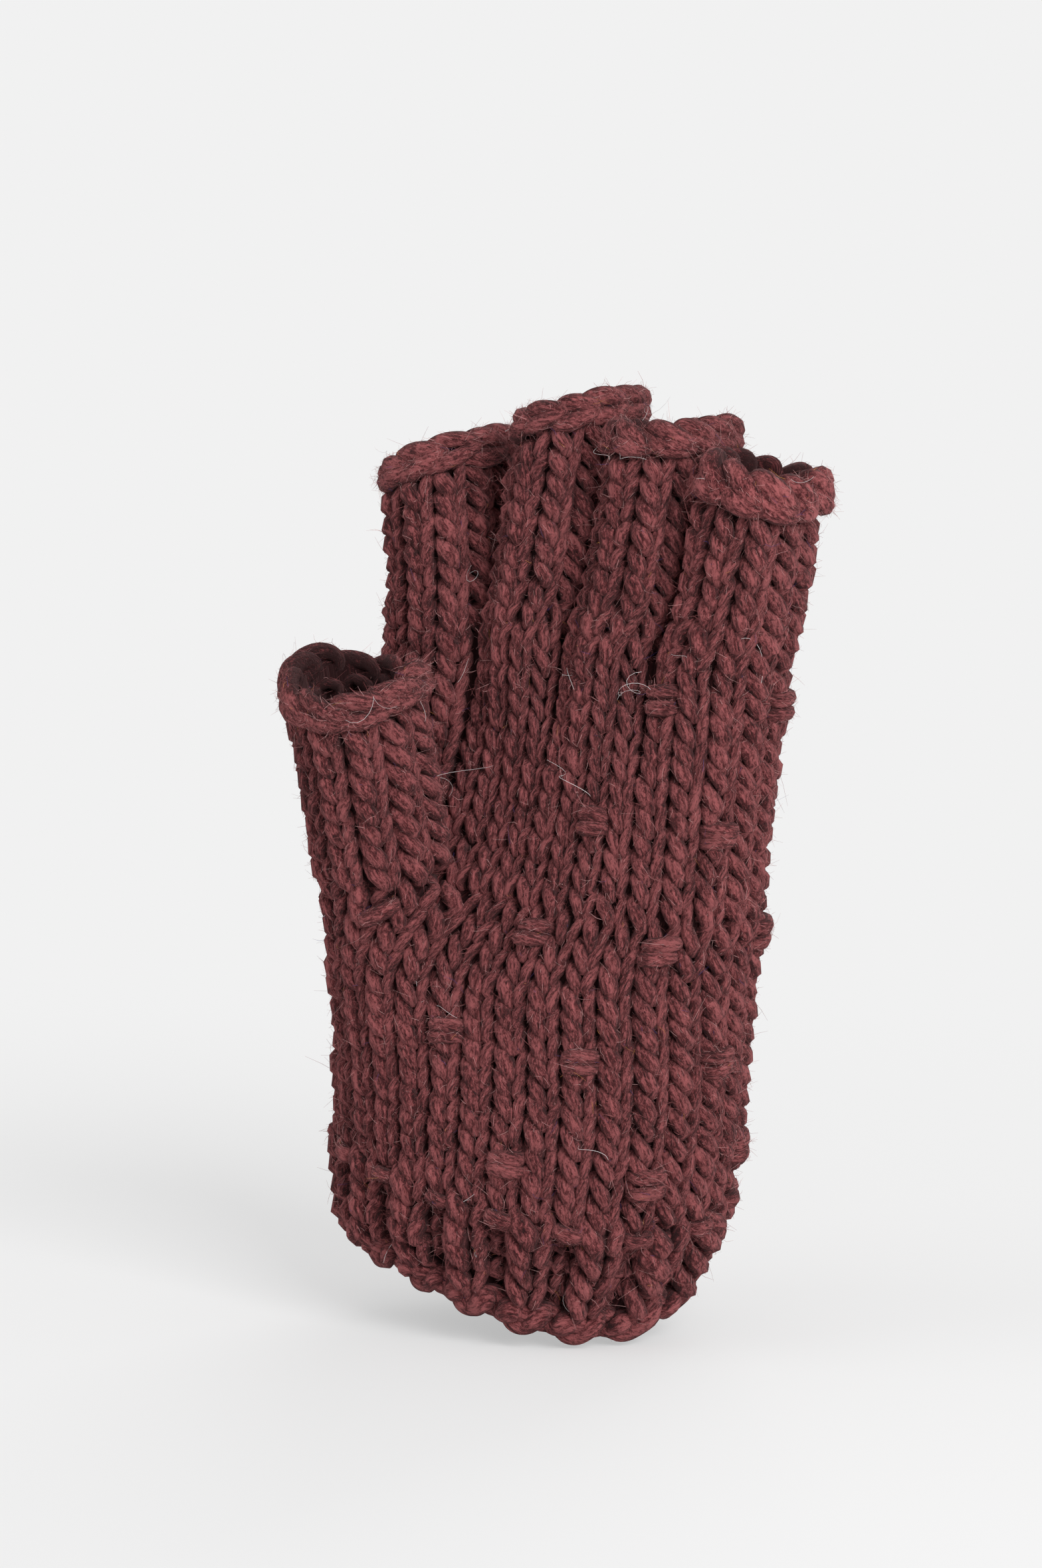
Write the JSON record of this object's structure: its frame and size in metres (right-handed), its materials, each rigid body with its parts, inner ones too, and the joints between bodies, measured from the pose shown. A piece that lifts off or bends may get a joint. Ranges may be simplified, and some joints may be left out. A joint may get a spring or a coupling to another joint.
{
  "type": "knitted fingerless glove",
  "caption": "Hand-knitted fingerless glove for a left hand: ribbed cuff, plain hand tube with purl dots, and short open tubes for thumb and fingers with bound-off rims.",
  "frame": {"origin": "centre of the wrist opening", "axes": "+Z from the wrist to the fingertips, +X across the palm from the thumb side to the little-finger side, -Y out of the palm"},
  "size_m": [0.1073, 0.0809, 0.1905],
  "materials": {
    "wool": "matte soft-spun wool, hand-knitted, slightly fuzzy"
  },
  "bodies": {
    "hand": {"cast_on_edge": "wool", "cuff_rib": "wool", "hand_body": "wool", "purl_bars": "wool", "thumb_knuckle": "wool", "index_knuckle": "wool", "middle_knuckle": "wool", "ring_knuckle": "wool", "little_knuckle": "wool"},
    "thumb": {"thumb_tube": "wool", "thumb_bind_off": "wool"},
    "index": {"index_tube": "wool", "index_bind_off": "wool"},
    "middle": {"middle_tube": "wool", "middle_bind_off": "wool"},
    "ring": {"ring_tube": "wool", "ring_bind_off": "wool"},
    "little": {"little_tube": "wool", "little_bind_off": "wool"}
  },
  "joints": [
    {"name": "thumb_flex", "type": "hinge", "parent": "hand", "child": "thumb", "pos_m": [-0.01655, -0.02689, 0.09401], "axis": [0.3565, 0.8962, 0.2641], "range_deg": [-20, 50], "stiffness_Nm_per_rad": 0.02, "deforming": ["thumb_knuckle"]},
    {"name": "index_flex", "type": "hinge", "parent": "hand", "child": "index", "pos_m": [-0.02097, -0.001, 0.13967], "axis": [0.9986, 0, 0.0523], "range_deg": [-20, 70], "stiffness_Nm_per_rad": 0.02, "deforming": ["index_knuckle"]},
    {"name": "middle_flex", "type": "hinge", "parent": "hand", "child": "middle", "pos_m": [0.00242, -0.001, 0.13766], "axis": [0.9848, 0, -0.1736], "range_deg": [-20, 70], "stiffness_Nm_per_rad": 0.02, "deforming": ["middle_knuckle"]},
    {"name": "ring_flex", "type": "hinge", "parent": "hand", "child": "ring", "pos_m": [0.02344, -0.001, 0.13581], "axis": [0.9816, 0, -0.1908], "range_deg": [-20, 70], "stiffness_Nm_per_rad": 0.02, "deforming": ["ring_knuckle"]},
    {"name": "little_flex", "type": "hinge", "parent": "hand", "child": "little", "pos_m": [0.0453, -0.001, 0.13389], "axis": [0.9799, 0, -0.1994], "range_deg": [-20, 70], "stiffness_Nm_per_rad": 0.02, "deforming": ["little_knuckle"]}
  ]
}
